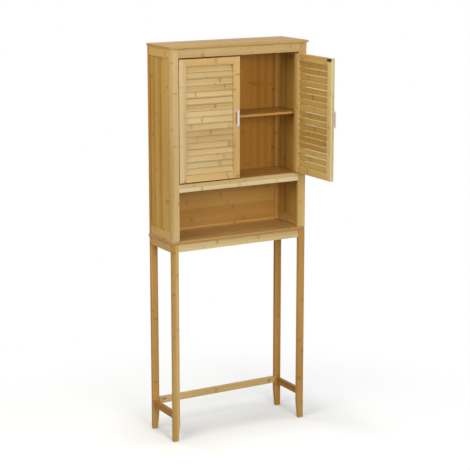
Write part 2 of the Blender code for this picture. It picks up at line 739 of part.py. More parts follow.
clear_scene()
PARTS = new_collection(COLLECTION_NAME)
CUTTERS = new_collection(COLLECTION_NAME + "_cutters")
BAMBOO = make_material("bamboo", (0.62, 0.42, 0.20), 0.35)
BAMBOO_LEG = make_material("bamboo_leg", (0.50, 0.30, 0.12), 0.35)
BAMBOO_PANEL = make_material("bamboo_panel", (0.55, 0.34, 0.14), 0.35)
ALUMINIUM = make_material("aluminium", (0.80, 0.80, 0.80), 0.3, 1.0)
STEEL = make_material("steel", (0.62, 0.62, 0.63), 0.3, 1.0)
DARK_STEEL = make_material("dark_steel", (0.04, 0.035, 0.035), 0.4, 0.6)
CATCH_PLASTIC = make_material("catch_plastic", (0.14, 0.07, 0.026), 0.45)

for side_sign, side_word in ((-1, "left"), (1, "right")):
    make_leg("leg_front_" + side_word, side_sign, FRONT)
    make_leg("leg_rear_" + side_word, side_sign, BACK - STOCK)
make_aprons()
make_stretchers()
make_base_board()
make_posts()
make_side_frames()
make_cross_rails()
make_back_panels()
make_shelves()
make_catch()
make_top_panel()
make_door("left", -1, 0.0)
make_door("right", 1, OPEN_ANGLE)
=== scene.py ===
"""Looks of the over-the-toilet storage rack: bamboo, louvre slats, metal fittings and a pale studio.

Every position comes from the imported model. Metres, +X to the right, +Y to the wall, +Z up.
"""
import math
import random

import bmesh
import bpy
from mathutils import Matrix, Vector


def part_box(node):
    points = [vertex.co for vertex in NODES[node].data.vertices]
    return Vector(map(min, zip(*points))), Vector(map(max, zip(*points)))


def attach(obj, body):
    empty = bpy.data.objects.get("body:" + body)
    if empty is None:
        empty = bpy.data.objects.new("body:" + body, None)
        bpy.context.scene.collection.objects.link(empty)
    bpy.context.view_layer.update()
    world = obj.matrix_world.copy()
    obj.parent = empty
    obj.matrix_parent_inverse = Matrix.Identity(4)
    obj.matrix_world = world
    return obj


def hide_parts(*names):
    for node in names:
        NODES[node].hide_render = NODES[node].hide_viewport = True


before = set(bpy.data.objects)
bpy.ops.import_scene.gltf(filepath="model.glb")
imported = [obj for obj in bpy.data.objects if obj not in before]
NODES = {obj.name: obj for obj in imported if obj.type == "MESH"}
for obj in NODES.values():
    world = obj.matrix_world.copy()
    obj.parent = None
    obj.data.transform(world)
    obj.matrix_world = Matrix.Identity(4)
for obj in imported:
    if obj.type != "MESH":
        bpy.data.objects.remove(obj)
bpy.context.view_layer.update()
AXES = {"X": 0, "Y": 1, "Z": 2}

# Shading and turned parts
SHARP_ANGLE = math.radians(35.0)
WELD_DISTANCE = 0.00001
TURN_SEGMENTS = 40

# Camera
CAMERA_PLACE = (-3.146, -5.3843, 2.2694)
CAMERA_YAW = math.radians(29.949)
CAMERA_PITCH = math.radians(12.510)
CAMERA_LENS = 114.4
CAMERA_SENSOR = 36.0

# Studio: each light has a name, place, size, power and colour
WHITE = (1.0, 1.0, 1.0, 1.0)
AMBIENT = 0.48
FLOOR_COLOUR = (0.86, 0.88, 0.91)
FLOOR_SIZE = 40.0
FLOOR_DROP = 0.0004                     # how far the floor lies under the feet
FLOOR_FADE = (0.5, 1.4)                 # distance at which the floor starts to fade, and is white
FLOOR_BOUNCE = (0.27, 0.28, 0.30, 1.0)  # what the floor gives back to the rack
LIGHT_TARGET = (0.0, 0.1, 0.9)
LIGHTS = (
    ("key", (-0.5, -4.5, 2.2), 2.2, 117.0, (1.0, 1.0, 0.99)),
    ("side", (-2.4, -0.9, 2.5), 1.8, 38.0, (1.0, 0.89, 0.60)),
    ("fill", (3.4, -0.9, 2.3), 2.4, 24.0, (1.0, 0.98, 0.95)),
    ("top", (-0.15, 0.05, 7.0), 1.45, 120.0, (1.0, 1.0, 1.0)),
    ("back", (-1.9, 3.4, 3.1), 2.6, 26.0, (1.0, 0.98, 0.94)),
)

# Louvre slats
SLAT_COUNT = 17
SLAT_WIDTH = 0.0265
SLAT_THICKNESS = 0.005
SLAT_EASE = 0.0009
SLAT_TILT = math.radians(77.2)
SLAT_TILT_SPREAD = math.radians(1.8)
SLAT_LIFT_SPREAD = 0.00025
SLAT_ROOM = 0.0004
SLAT_BOW = 0.0004
SLAT_CUTS = 11
SLAT_TOAST_SPREAD = (-0.14, 0.14)
STRIP_DEPTH = 0.0106
STRIP_GROOVE = 0.004
STRIP_ROOM = 0.0002
STRIP_END_ROOM = 0.0004

# Fittings: radius and height of each kind of screw head
HANDLE_SCREW = (0.0039, 0.0021)
HANDLE_SCREW_GAP = 0.0001
STRIKE_SCREW = (0.0036, 0.0007)
STRIKE_SCREW_SINK = 0.0005
STRIKE_SCREW_SPREAD = 0.27              # share of the plate's length, from its middle
NUT_EASE = 0.0007
NUT_SLOT_HALF = 0.0007
NUT_SLOT_DEPTH = 0.0018
NUT_TURNS = {"left": math.radians(24.0), "right": math.radians(-58.0)}
CATCH_EASE = 0.0016
POLE_THICKNESS = 0.0015

# Bamboo: sizes of its strips and marks
STRIP_WIDTH = 0.0195
LAYER_THICKNESS = 0.0058
GLUE_LINE = 0.00045
RING_PERIOD = 0.23
RING_LINE = (0.0004, 0.0022)
RING_SHADE = (0.006, 0.016)
RING_LINE_WEIGHT = 0.32
RING_SHADE_WEIGHT = 0.52
RING_WOBBLE = 0.0045
JOINT_PERIOD = 0.46
JOINT_TOOTH = 0.0022
JOINT_LINE = (0.0002, 0.0008)
JOINT_WEIGHT = 0.32
BUMP_HEIGHT = 0.00025
PLAIN_COAT = 0.06


# ---------------------------------------------------------------- shader building

class Graph:
    """A node tree with short calls for the nodes that the materials use."""

    def __init__(self, tree):
        self.tree = tree

    def node(self, kind, **settings):
        made = self.tree.nodes.new(kind)
        for key, value in settings.items():
            setattr(made, key, value)
        return made

    def feed(self, socket, value):
        if isinstance(value, bpy.types.NodeSocket):
            self.tree.links.new(value, socket)
        else:
            socket.default_value = value

    def math(self, operation, *values, clamp=False):
        made = self.node("ShaderNodeMath", operation=operation, use_clamp=clamp)
        for socket, value in zip(made.inputs, values):
            self.feed(socket, value)
        return made.outputs[0]

    def vector(self, x, y, z):
        made = self.node("ShaderNodeCombineXYZ")
        for socket, value in zip(made.inputs, (x, y, z)):
            self.feed(socket, value)
        return made.outputs[0]

    def parts(self, vector):
        made = self.node("ShaderNodeSeparateXYZ")
        self.feed(made.inputs[0], vector)
        return made.outputs[0], made.outputs[1], made.outputs[2]

    def noise(self, vector, scale=1.0, detail=2.0, roughness=0.5):
        made = self.node("ShaderNodeTexNoise")
        self.feed(made.inputs["Vector"], vector)
        made.inputs["Scale"].default_value = scale
        made.inputs["Detail"].default_value = detail
        made.inputs["Roughness"].default_value = roughness
        return made.outputs["Fac"]

    def random3(self, vector):
        made = self.node("ShaderNodeTexWhiteNoise", noise_dimensions="3D")
        self.feed(made.inputs["Vector"], vector)
        return self.parts(made.outputs["Color"])

    def remap(self, value, low, high, to_low=0.0, to_high=1.0, smooth=False):
        made = self.node("ShaderNodeMapRange", clamp=True)
        if smooth:
            made.interpolation_type = "SMOOTHSTEP"
        for socket, item in zip(made.inputs, (value, low, high, to_low, to_high)):
            self.feed(socket, item)
        return made.outputs[0]

    def mix(self, factor, first, second, blend="MIX"):
        made = self.node("ShaderNodeMix", data_type="RGBA", blend_type=blend)
        self.feed(made.inputs[0], factor)
        self.feed(made.inputs[6], first)
        self.feed(made.inputs[7], second)
        return made.outputs[2]

    def bump(self, height, distance, strength=1.0):
        made = self.node("ShaderNodeBump")
        made.inputs["Strength"].default_value = strength
        made.inputs["Distance"].default_value = distance
        self.feed(made.inputs["Height"], height)
        return made.outputs["Normal"]


def new_material(name, colour, roughness, metallic=0.0):
    """A Principled material. Its graph and shader come back with it."""
    material = bpy.data.materials.new(name)
    material.use_nodes = True
    material.diffuse_color = (*colour[:3], 1.0)
    shader = material.node_tree.nodes["Principled BSDF"]
    shader.inputs["Base Color"].default_value = (*colour[:3], 1.0)
    shader.inputs["Roughness"].default_value = roughness
    shader.inputs["Metallic"].default_value = metallic
    return material, Graph(material.node_tree), shader


def srgb(red, green, blue):
    """Linear colour from 8-bit display values."""
    def linear(value):
        value /= 255.0
        return value / 12.92 if value <= 0.04045 else ((value + 0.055) / 1.055) ** 2.4
    return (linear(red), linear(green), linear(blue), 1.0)


# ---------------------------------------------------------------- bamboo

BAMBOO_PALE = srgb(218, 191, 140)
BAMBOO_MIDDLE = srgb(202, 172, 118)
BAMBOO_DEEP = srgb(180, 143, 86)
BAMBOO_RING = srgb(142, 92, 42)
BAMBOO_GLUE = srgb(144, 98, 48)


def bamboo_group():
    """Laminated bamboo. Board is (along the grain, across the face, through the thickness) in metres."""
    tree = bpy.data.node_groups.new("laminated_bamboo", "ShaderNodeTree")
    for name, way, kind in (("Board", "INPUT", "Vector"), ("Seed", "INPUT", "Float"),
                            ("Tint_and_shade", "INPUT", "Color"), ("Colour", "OUTPUT", "Color"),
                            ("Roughness", "OUTPUT", "Float"), ("Height", "OUTPUT", "Float")):
        tree.interface.new_socket(name, in_out=way, socket_type="NodeSocket" + kind)
    g = Graph(tree)
    given = g.node("NodeGroupInput")
    result = g.node("NodeGroupOutput")
    board, seed, tint_and_shade = given.outputs[0], given.outputs[1], given.outputs[2]
    along, across, through = g.parts(board)

    # Strips and layers, each with random numbers of its own
    strip = g.math("ADD", g.math("DIVIDE", across, STRIP_WIDTH), g.math("MULTIPLY", seed, 7.31))
    layer = g.math("ADD", g.math("DIVIDE", through, LAYER_THICKNESS), g.math("MULTIPLY", seed, 3.17))
    strip_cell = g.math("FLOOR", strip)
    layer_cell = g.math("FLOOR", layer)
    tone, shift, period = g.random3(g.vector(strip_cell, layer_cell, seed))
    strip_part = g.math("FRACT", strip)
    layer_part = g.math("FRACT", layer)
    strip_edge = g.math("MULTIPLY", g.math("MINIMUM", strip_part, g.math("SUBTRACT", 1.0, strip_part)),
                        STRIP_WIDTH)
    layer_edge = g.math("MULTIPLY", g.math("MINIMUM", layer_part, g.math("SUBTRACT", 1.0, layer_part)),
                        LAYER_THICKNESS)
    glue = g.remap(g.math("MINIMUM", strip_edge, layer_edge), 0.0, GLUE_LINE, 1.0, 0.0, smooth=True)

    # Nodes of the cane: a thin dark ring in a broader shade, here and there along each strip
    wobble = g.noise(g.vector(g.math("MULTIPLY", along, 20.0), g.math("MULTIPLY", across, 260.0),
                              g.math("MULTIPLY", through, 260.0)), detail=2.0)
    spacing = g.remap(period, 0.0, 1.0, 0.75 * RING_PERIOD, 1.3 * RING_PERIOD)
    turns = g.math("ADD", g.math("DIVIDE", along, spacing), g.math("MULTIPLY", shift, 9.0))
    ring_cell = g.math("FLOOR", turns)
    from_ring = g.math("MULTIPLY", g.math("ABSOLUTE", g.math("SUBTRACT", g.math("FRACT", turns), 0.5)),
                       spacing)
    from_ring = g.math("ADD", from_ring,
                       g.math("MULTIPLY", g.math("SUBTRACT", wobble, 0.5), RING_WOBBLE))
    strength, spread, _ = g.random3(g.vector(ring_cell, g.math("ADD", strip_cell, 17.0), layer_cell))
    ring_line = g.remap(from_ring, *RING_LINE, 1.0, 0.0, smooth=True)
    ring_shade = g.remap(from_ring, 0.001, g.remap(spread, 0.0, 1.0, *RING_SHADE), 1.0, 0.0, smooth=True)
    ring = g.math("MULTIPLY", g.math("POWER", strength, 1.4),
                  g.math("ADD", g.math("MULTIPLY", ring_line, RING_LINE_WEIGHT),
                         g.math("MULTIPLY", ring_shade, RING_SHADE_WEIGHT)))

    # Finger joints: a thin zigzag line where two lengths of a strip meet
    places = g.math("ADD", g.math("DIVIDE", along, JOINT_PERIOD), g.math("MULTIPLY", period, 5.0))
    joint_strength, joint_shift, _ = g.random3(g.vector(g.math("FLOOR", places), strip_cell, 5.0))
    zigzag = g.math("PINGPONG", g.math("ADD", across, through), JOINT_TOOTH)
    from_joint = g.math("SUBTRACT", g.math("FRACT", places), g.remap(joint_shift, 0.0, 1.0, 0.25, 0.75))
    from_joint = g.math("ADD", g.math("MULTIPLY", from_joint, JOINT_PERIOD),
                        g.math("MULTIPLY", zigzag, 2.2))
    joint = g.remap(g.math("ABSOLUTE", from_joint), *JOINT_LINE, 1.0, 0.0, smooth=True)
    joint = g.math("MULTIPLY", joint, g.remap(joint_strength, 0.35, 1.0, 0.0, JOINT_WEIGHT))

    # Fibres, streaks and a slow drift of colour
    fibre = g.noise(g.vector(g.math("MULTIPLY", along, 18.0), g.math("MULTIPLY", across, 1500.0),
                             g.math("MULTIPLY", through, 1500.0)), detail=3.0, roughness=0.6)
    streak = g.noise(g.vector(g.math("ADD", g.math("MULTIPLY", along, 5.0), g.math("MULTIPLY", tone, 40.0)),
                              g.math("MULTIPLY", across, 230.0), g.math("MULTIPLY", through, 230.0)),
                     detail=3.0)
    drift = g.noise(g.vector(g.math("ADD", g.math("MULTIPLY", along, 2.2), seed),
                             g.math("MULTIPLY", across, 9.0), g.math("MULTIPLY", through, 9.0)),
                    detail=1.0)
    light = g.math("ADD", g.math("MULTIPLY", tone, 0.46), g.math("MULTIPLY", streak, 0.34))
    light = g.math("ADD", light, g.math("MULTIPLY", fibre, 0.20))
    light = g.math("ADD", light, g.math("MULTIPLY", g.math("SUBTRACT", drift, 0.5), 0.55))
    ramp = g.node("ShaderNodeValToRGB")
    ramp.color_ramp.elements[0].position = 0.16
    ramp.color_ramp.elements[0].color = BAMBOO_DEEP
    ramp.color_ramp.elements[1].position = 0.86
    ramp.color_ramp.elements[1].color = BAMBOO_PALE
    middle = ramp.color_ramp.elements.new(0.5)
    middle.color = BAMBOO_MIDDLE
    g.feed(ramp.inputs[0], light)
    colour = g.mix(g.math("MULTIPLY", ring, 0.85), ramp.outputs[0], BAMBOO_RING)
    colour = g.mix(g.math("MULTIPLY", glue, 0.30), colour, BAMBOO_GLUE)
    colour = g.mix(joint, colour, BAMBOO_GLUE)
    # The piece's tint multiplies in here: the cane's own tone, together with painted light and shade.
    colour = g.mix(1.0, colour, tint_and_shade, blend="MULTIPLY")
    roughness = g.math("ADD", g.math("MULTIPLY", fibre, 0.12), g.math("MULTIPLY", streak, 0.08))
    height = g.math("ADD", g.math("MULTIPLY", fibre, 0.5), g.math("MULTIPLY", ring_line, 0.4))
    height = g.math("SUBTRACT", height, g.math("MULTIPLY", glue, 0.6))
    g.feed(result.inputs["Colour"], colour)
    g.feed(result.inputs["Roughness"], g.math("ADD", roughness, 0.24))
    g.feed(result.inputs["Height"], height)
    return tree


BAMBOO = bamboo_group()


def bamboo_material(name, board, seed, tint_and_shade, coat=PLAIN_COAT):
    """Bamboo for one piece. board names the axes along the grain, across the face and through."""
    material, g, shader = new_material(name, BAMBOO_MIDDLE, 0.35)
    axes = g.parts(g.node("ShaderNodeTexCoord").outputs["Object"])
    grain = g.node("ShaderNodeGroup")
    grain.node_tree = BAMBOO
    g.feed(grain.inputs["Board"], g.vector(*[axes[AXES[letter]] for letter in board]))
    grain.inputs["Seed"].default_value = seed
    # The tint holds painted light and shade as well as the cane's own tone.
    grain.inputs["Tint_and_shade"].default_value = tint_and_shade
    g.feed(shader.inputs["Base Color"], grain.outputs["Colour"])
    g.feed(shader.inputs["Roughness"], grain.outputs["Roughness"])
    g.feed(shader.inputs["Normal"], g.bump(grain.outputs["Height"], BUMP_HEIGHT, 0.5))
    shader.inputs["Specular IOR Level"].default_value = 0.25
    shader.inputs["Coat Weight"].default_value = coat
    shader.inputs["Coat Roughness"].default_value = 0.2
    return material


# ---------------------------------------------------------------- metal and plastic

def brushed_metal(name, colour, roughness, along, metallic=1.0):
    """Metal with fine brush marks along one axis."""
    material, g, shader = new_material(name, colour, roughness, metallic)
    axes = g.parts(g.node("ShaderNodeTexCoord").outputs["Object"])
    stretched = [g.math("MULTIPLY", axis, 60.0 if index == along else 4000.0)
                 for index, axis in enumerate(axes)]
    marks = g.noise(g.vector(*stretched), detail=3.0)
    cloud = g.noise(g.vector(*axes), scale=120.0, detail=2.0)
    g.feed(shader.inputs["Base Color"], g.mix(g.math("MULTIPLY", marks, 0.35), colour,
                                              tuple(channel * 0.72 for channel in colour[:3]) + (1.0,)))
    rough = g.math("ADD", g.math("MULTIPLY", marks, 0.16), g.math("MULTIPLY", cloud, 0.08))
    g.feed(shader.inputs["Roughness"], g.math("ADD", rough, roughness - 0.12))
    g.feed(shader.inputs["Normal"], g.bump(marks, 0.00004, 0.4))
    return material


def moulded(name, colour, roughness, metallic=0.0):
    """Plastic or paint with a fine mottle."""
    material, g, shader = new_material(name, colour, roughness, metallic)
    place = g.node("ShaderNodeTexCoord").outputs["Object"]
    fine = g.noise(place, scale=2600.0, detail=2.0)
    broad = g.noise(place, scale=90.0, detail=2.0)
    darker = tuple(channel * 0.8 for channel in colour[:3]) + (1.0,)
    g.feed(shader.inputs["Base Color"], g.mix(g.math("MULTIPLY", broad, 0.5), colour, darker))
    g.feed(shader.inputs["Roughness"], g.math("ADD", g.math("MULTIPLY", broad, 0.15), roughness - 0.07))
    g.feed(shader.inputs["Normal"], g.bump(fine, 0.00005, 0.5))
    return material


ALUMINIUM = brushed_metal("aluminium_brushed", srgb(236, 236, 240), 0.32, 2, metallic=0.35)
ZINC = brushed_metal("steel_zinc", srgb(196, 198, 202), 0.34, 0)
BLACK_METAL = moulded("steel_black", srgb(34, 32, 32), 0.38, 0.6)
PLATE_METAL = moulded("steel_dark_plate", srgb(104, 96, 84), 0.4, 0.6)
CATCH_BODY = moulded("catch_plastic", srgb(104, 74, 44), 0.45)
BRONZE = brushed_metal("steel_bronzed", srgb(96, 72, 44), 0.42, 2)


# ---------------------------------------------------------------- materials on the CAD nodes

def board_axes(low, high):
    """Axis letters by size, longest first: grain, face, thickness."""
    size = high - low
    return "".join(sorted("XYZ", key=lambda letter: -size[AXES[letter]]))


GRAIN = {
    "base_board": "XYZ", "top_panel": "XYZ", "mid_board": "XYZ", "inner_shelf": "XYZ",
    "back_panel_upper": "ZXY", "back_panel_lower": "XZY",
    "side_panel_left": "ZYX", "side_panel_right": "ZYX",
}
# What each piece's bamboo is multiplied by, from the start of its name: 1 is pale cane, less is darker.
# Beside the cane's own tone these hold painted light and shade: pieces that stand in shade, such as the
# rear right leg, the stretchers, the back panels, the shelves and the base board, are painted darker; lit
# fronts, such as the front apron, the middle front rail and the right door's free stile, are painted paler,
# some above 1; and the side panels and the open door's louvres are painted deeper gold for the warm side
# light.
PIECE_TINTS_AND_SHADE = {
    "apron": (0.96, 0.85, 0.59),
    "apron_front": (1.34, 1.62, 2.00),
    "back_panel_lower": (0.84, 0.65, 0.37),
    "back_panel_upper": (0.60, 0.38, 0.13),
    "base_board": (0.82, 0.72, 0.58),
    "inner_shelf": (0.80, 0.59, 0.31),
    "left_door_bottom_rail": (0.97, 0.90, 0.78),
    "left_door_free_stile": (0.99, 0.97, 0.90),
    "left_door_hinge_stile": (0.98, 1.05, 1.24),
    "left_door_louvre_pack": (0.94, 0.98, 1.02),
    "left_door_top_rail": (0.95, 0.88, 0.77),
    "leg_front_left": (0.88, 0.78, 0.60),
    "leg_front_right": (0.93, 0.80, 0.59),
    "leg_rear_left": (0.94, 0.73, 0.43),
    "leg_rear_right": (0.75, 0.52, 0.24),
    "mid_board": (0.84, 0.61, 0.34),
    "post_front_left": (0.96, 0.97, 1.02),
    "post_front_right": (0.93, 0.88, 0.74),
    "post_rear": (0.89, 0.68, 0.40),
    "rail_mid_front": (1.22, 1.43, 1.74),
    "rail_mid_rear": (0.92, 0.66, 0.38),
    "rail_top_front": (0.93, 0.96, 0.97),
    "rail_top_rear": (0.92, 0.66, 0.38),
    "right_door_bottom_rail": (0.99, 0.95, 0.78),
    "right_door_free_stile": (1.04, 1.13, 1.18),
    "right_door_hinge_stile": (1.02, 1.00, 0.88),
    "right_door_louvre_pack": (1.01, 0.99, 0.74),
    "right_door_top_rail": (0.99, 0.95, 0.78),
    "shelf_cleat": (0.90, 0.63, 0.34),
    "side_bottom_rail": (0.95, 0.86, 0.64),
    "side_panel": (0.90, 0.78, 0.42),
    "side_top_rail": (0.95, 0.86, 0.64),
    "stretcher_left": (0.68, 0.44, 0.12),
    "stretcher_rear": (0.94, 0.91, 0.79),
    "stretcher_right": (0.59, 0.37, 0.09),
    "top_panel": (0.82, 0.70, 0.44),
}
# How much of each channel a full shade takes away
TOAST_LOSS = (0.24, 0.46, 0.90)
# The surfaces that things stand on shine more
COATS = {"base_board": 0.5, "mid_board": 0.4, "inner_shelf": 0.25}


def dress(node, material):
    node.data.materials.clear()
    node.data.materials.append(material)


def even_normals(piece):
    """Large flat faces keep their own direction beside small rounded ones."""
    modifier = piece.modifiers.new("even_normals", "WEIGHTED_NORMAL")
    modifier.weight = 100
    modifier.keep_sharp = True


def smooth_faces(piece):
    """Round faces shade smoothly, and flat ones stay flat. The mesh's own points aren't moved."""
    weld = piece.modifiers.new("weld", "WELD")
    weld.merge_threshold = WELD_DISTANCE
    piece.data.shade_smooth()
    piece.data.set_sharp_from_angle(angle=SHARP_ANGLE)
    even_normals(piece)


def tint_and_shade_of(name, shade=0.0):
    """A piece's tint, which carries painted light and shade beside the cane's own tone. A shade above 0
    toasts it a little further, and one below 0 bleaches it.
    """
    start = max((start for start in PIECE_TINTS_AND_SHADE if name.startswith(start)), key=len)
    return tuple(part * (1.0 - shade * loss) for part, loss in zip(PIECE_TINTS_AND_SHADE[start], TOAST_LOSS)) + (1.0,)


def dress_cad_nodes():
    for index, name in enumerate(sorted(NODES)):
        node = NODES[name]
        if "handle_screw" in name or "barrel_nut" in name:
            dress(node, ZINC)
        elif name.endswith("_pin"):
            dress(node, BRONZE)
        elif name.endswith("handle"):
            dress(node, ALUMINIUM)
        elif "strike_plate" in name:
            dress(node, PLATE_METAL)
        elif "catch" in name:
            dress(node, CATCH_BODY)
        else:
            board = GRAIN.get(name) or board_axes(*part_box(name))
            dress(node, bamboo_material("bamboo_" + name, board, 1.0 + 0.37 * index, tint_and_shade_of(name),
                                        COATS.get(name, PLAIN_COAT)))


# ---------------------------------------------------------------- slats

def new_piece(name, bm, material, body):
    """A finished mesh that rides on a body."""
    mesh = bpy.data.meshes.new(name)
    bm.to_mesh(mesh)
    bm.free()
    mesh.materials.append(material)
    piece = bpy.data.objects.new(name, mesh)
    bpy.context.scene.collection.objects.link(piece)
    mesh.shade_smooth()
    mesh.set_sharp_from_angle(angle=SHARP_ANGLE)
    even_normals(piece)
    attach(piece, body)
    return piece


def add_box(bm, low, high):
    """A box between two corners."""
    low = Vector(low)
    high = Vector(high)
    made = bmesh.ops.create_cube(bm, size=1.0)["verts"]
    bmesh.ops.scale(bm, vec=high - low, verts=made)
    bmesh.ops.translate(bm, vec=(low + high) / 2.0, verts=made)


def long_edges(bm):
    """The edges that run along X."""
    return [edge for edge in bm.edges
            if abs((edge.verts[0].co - edge.verts[1].co).normalized().x) > 0.9]


def slat_bm(length, chooser):
    """One slat lying along X, centred: rounded long edges, and a trace of warp."""
    bm = bmesh.new()
    add_box(bm, (-length / 2.0, -SLAT_WIDTH / 2.0, -SLAT_THICKNESS / 2.0),
            (length / 2.0, SLAT_WIDTH / 2.0, SLAT_THICKNESS / 2.0))
    bmesh.ops.bevel(bm, geom=long_edges(bm), offset=SLAT_EASE, segments=3, profile=0.5, affect="EDGES")
    bmesh.ops.subdivide_edges(bm, edges=long_edges(bm), cuts=SLAT_CUTS, use_grid_fill=True)
    bow = chooser.uniform(-SLAT_BOW, SLAT_BOW)
    for vert in bm.verts:
        vert.co.z += bow * math.cos(math.pi * vert.co.x / length)
    return bm


def runs_along_x(body):
    """Whether a door is closed at rest. The open one runs along Y."""
    low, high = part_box(body + "_top_rail")
    return (high - low).x > (high - low).y


def louvre_field(body):
    """The louvres' place at rest: their middle, their lowest and highest z, and the top rail's box."""
    pack_low, pack_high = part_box(body + "_louvre_pack")
    top_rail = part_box(body + "_top_rail")
    bottom_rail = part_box(body + "_bottom_rail")
    return (pack_low + pack_high) / 2.0, bottom_rail[1].z, top_rail[0].z, top_rail


def make_slats(body, seed):
    """The slats of one door, each with a tilt, height, bow and tone of its own."""
    along_x = runs_along_x(body)
    middle, low_z, high_z, rail = louvre_field(body)
    chooser = random.Random(seed)
    size = rail[1] - rail[0]
    length = (size.x if along_x else size.y) - 2.0 * SLAT_ROOM
    pitch = (high_z - low_z) / SLAT_COUNT
    # The slats lie along X with their outer edge towards -Y. The open door has turned that to +X.
    turn = Matrix.Identity(4) if along_x else Matrix.Rotation(math.radians(90.0), 4, "Z")
    for index in range(SLAT_COUNT):
        tilt = SLAT_TILT + chooser.uniform(-SLAT_TILT_SPREAD, SLAT_TILT_SPREAD)
        bm = slat_bm(length, chooser)
        name = "%s_slat_%02d" % (body, index + 1)
        material = bamboo_material("bamboo_" + name, "XYZ", seed + 1.913 * index,
                                   tint_and_shade_of(body + "_louvre_pack", chooser.uniform(*SLAT_TOAST_SPREAD)))
        slat = new_piece(name, bm, material, body)
        lift = chooser.uniform(-SLAT_LIFT_SPREAD, SLAT_LIFT_SPREAD)
        place = Vector((middle.x, middle.y, low_z + pitch * (index + 0.5) + lift))
        slat.matrix_world = Matrix.Translation(place) @ turn @ Matrix.Rotation(tilt, 4, "X")
    bpy.context.view_layer.update()


def make_slat_strips(body, seed):
    """The strip in each stile's groove that the slats' ends are let into. It stands for the CAD pack."""
    along_x = runs_along_x(body)
    middle, low_z, high_z, rail = louvre_field(body)
    half = STRIP_DEPTH / 2.0 - STRIP_ROOM
    bm = bmesh.new()
    for end, way in ((0, -1.0), (1, 1.0)):
        edge = rail[end].x if along_x else rail[end].y
        lengthways = sorted((edge + way * STRIP_END_ROOM, edge + way * (STRIP_GROOVE + STRIP_ROOM)))
        if along_x:
            add_box(bm, (lengthways[0], middle.y - half, low_z), (lengthways[1], middle.y + half, high_z))
        else:
            add_box(bm, (middle.x - half, lengthways[0], low_z), (middle.x + half, lengthways[1], high_z))
    bmesh.ops.bevel(bm, geom=list(bm.edges), offset=STRIP_ROOM, segments=1, affect="EDGES")
    board = "ZXY" if along_x else "ZYX"
    material = bamboo_material("bamboo_%s_slat_strips" % body, board, seed,
                               tint_and_shade_of(body + "_louvre_pack"))
    strips = new_piece(body + "_slat_strips", bm, material, body)
    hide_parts(body + "_louvre_pack")


# ---------------------------------------------------------------- fittings

def turned_bm(profile):
    """A body turned about Z from (radius, height) stations, first and last on the axis."""
    bm = bmesh.new()
    bottom = bm.verts.new((0.0, 0.0, profile[0][1]))
    top = bm.verts.new((0.0, 0.0, profile[-1][1]))
    rings = []
    for radius, height in profile[1:-1]:
        ring = [bm.verts.new((radius * math.cos(2.0 * math.pi * step / TURN_SEGMENTS),
                              radius * math.sin(2.0 * math.pi * step / TURN_SEGMENTS), height))
                for step in range(TURN_SEGMENTS)]
        rings.append(ring)
    for step in range(TURN_SEGMENTS):
        after = (step + 1) % TURN_SEGMENTS
        bm.faces.new((bottom, rings[0][after], rings[0][step]))
        for low, high in zip(rings, rings[1:]):
            bm.faces.new((low[step], low[after], high[after], high[step]))
        bm.faces.new((rings[-1][step], rings[-1][after], top))
    bmesh.ops.recalc_face_normals(bm, faces=bm.faces)
    return bm


def cut_with(piece, bm):
    """Cuts a closed shape out of a piece, and leaves a plain mesh."""
    mesh = bpy.data.meshes.new("cutter")
    bm.to_mesh(mesh)
    bm.free()
    cutter = bpy.data.objects.new("cutter", mesh)
    bpy.context.scene.collection.objects.link(cutter)
    cutter.matrix_world = piece.matrix_world
    modifier = piece.modifiers.new("cut", "BOOLEAN")
    modifier.object = cutter
    modifier.solver = "EXACT"
    bpy.context.view_layer.update()
    result = bpy.data.meshes.new_from_object(piece.evaluated_get(bpy.context.evaluated_depsgraph_get()))
    piece.modifiers.clear()
    piece.data = result
    even_normals(piece)
    bpy.data.objects.remove(cutter, do_unlink=True)
    result.set_sharp_from_angle(angle=SHARP_ANGLE)


def cross_bm(radius, depth, top):
    """The cross recess of a screw."""
    bm = bmesh.new()
    arm = radius * 0.62
    width = radius * 0.17
    add_box(bm, (-arm, -width, top - depth), (arm, width, top + 0.001))
    second = bmesh.new()
    add_box(second, (-width, -arm, top - depth), (width, arm, top + 0.001))
    mesh = bpy.data.meshes.new("arm")
    second.to_mesh(mesh)
    second.free()
    bm.from_mesh(mesh)
    bpy.data.meshes.remove(mesh)
    return bm


def screw_head(name, size, place, facing, body, material, nodes=()):
    """A domed screw head with a cross recess, its flat side at place, facing outwards."""
    radius, height = size
    profile = [(0.0, 0.0), (radius * 0.94, 0.0), (radius, height * 0.12), (radius, height * 0.3)]
    for step in range(1, 7):
        angle = math.pi / 2.0 * step / 6.0
        profile.append((radius * (0.25 + 0.75 * math.cos(angle)) if step < 6 else radius * 0.25,
                        height * (0.3 + 0.7 * math.sin(angle))))
    profile.append((0.0, height))
    piece = new_piece(name, turned_bm(profile), material, body)
    cut_with(piece, cross_bm(radius, height * 0.6, height))
    turn = Vector((0.0, 0.0, 1.0)).rotation_difference(Vector(facing)).to_matrix().to_4x4()
    piece.matrix_world = Matrix.Translation(place) @ turn
    if nodes:
        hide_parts(*nodes)


def inner_side(body):
    """A door's directions at rest: out of its inner face, and along that face."""
    if runs_along_x(body):
        return Vector((0.0, 1.0, 0.0)), Vector((1.0, 0.0, 0.0))
    return Vector((-1.0, 0.0, 0.0)), Vector((0.0, 1.0, 0.0))


def dress_handle_screws(body):
    """The heads of the handle's two screws, on the inner face of the free stile."""
    facing, _ = inner_side(body)
    stile_low, stile_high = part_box(body + "_free_stile")
    for end in ("lower", "upper"):
        node = "%s_handle_screw_%s" % (body, end)
        low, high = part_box(node)
        place = (low + high) / 2.0
        if runs_along_x(body):
            place.y = stile_high.y + HANDLE_SCREW_GAP
        else:
            place.x = stile_low.x - HANDLE_SCREW_GAP
        screw_head(node + "_head", HANDLE_SCREW, place, facing, body, ZINC, (node,))


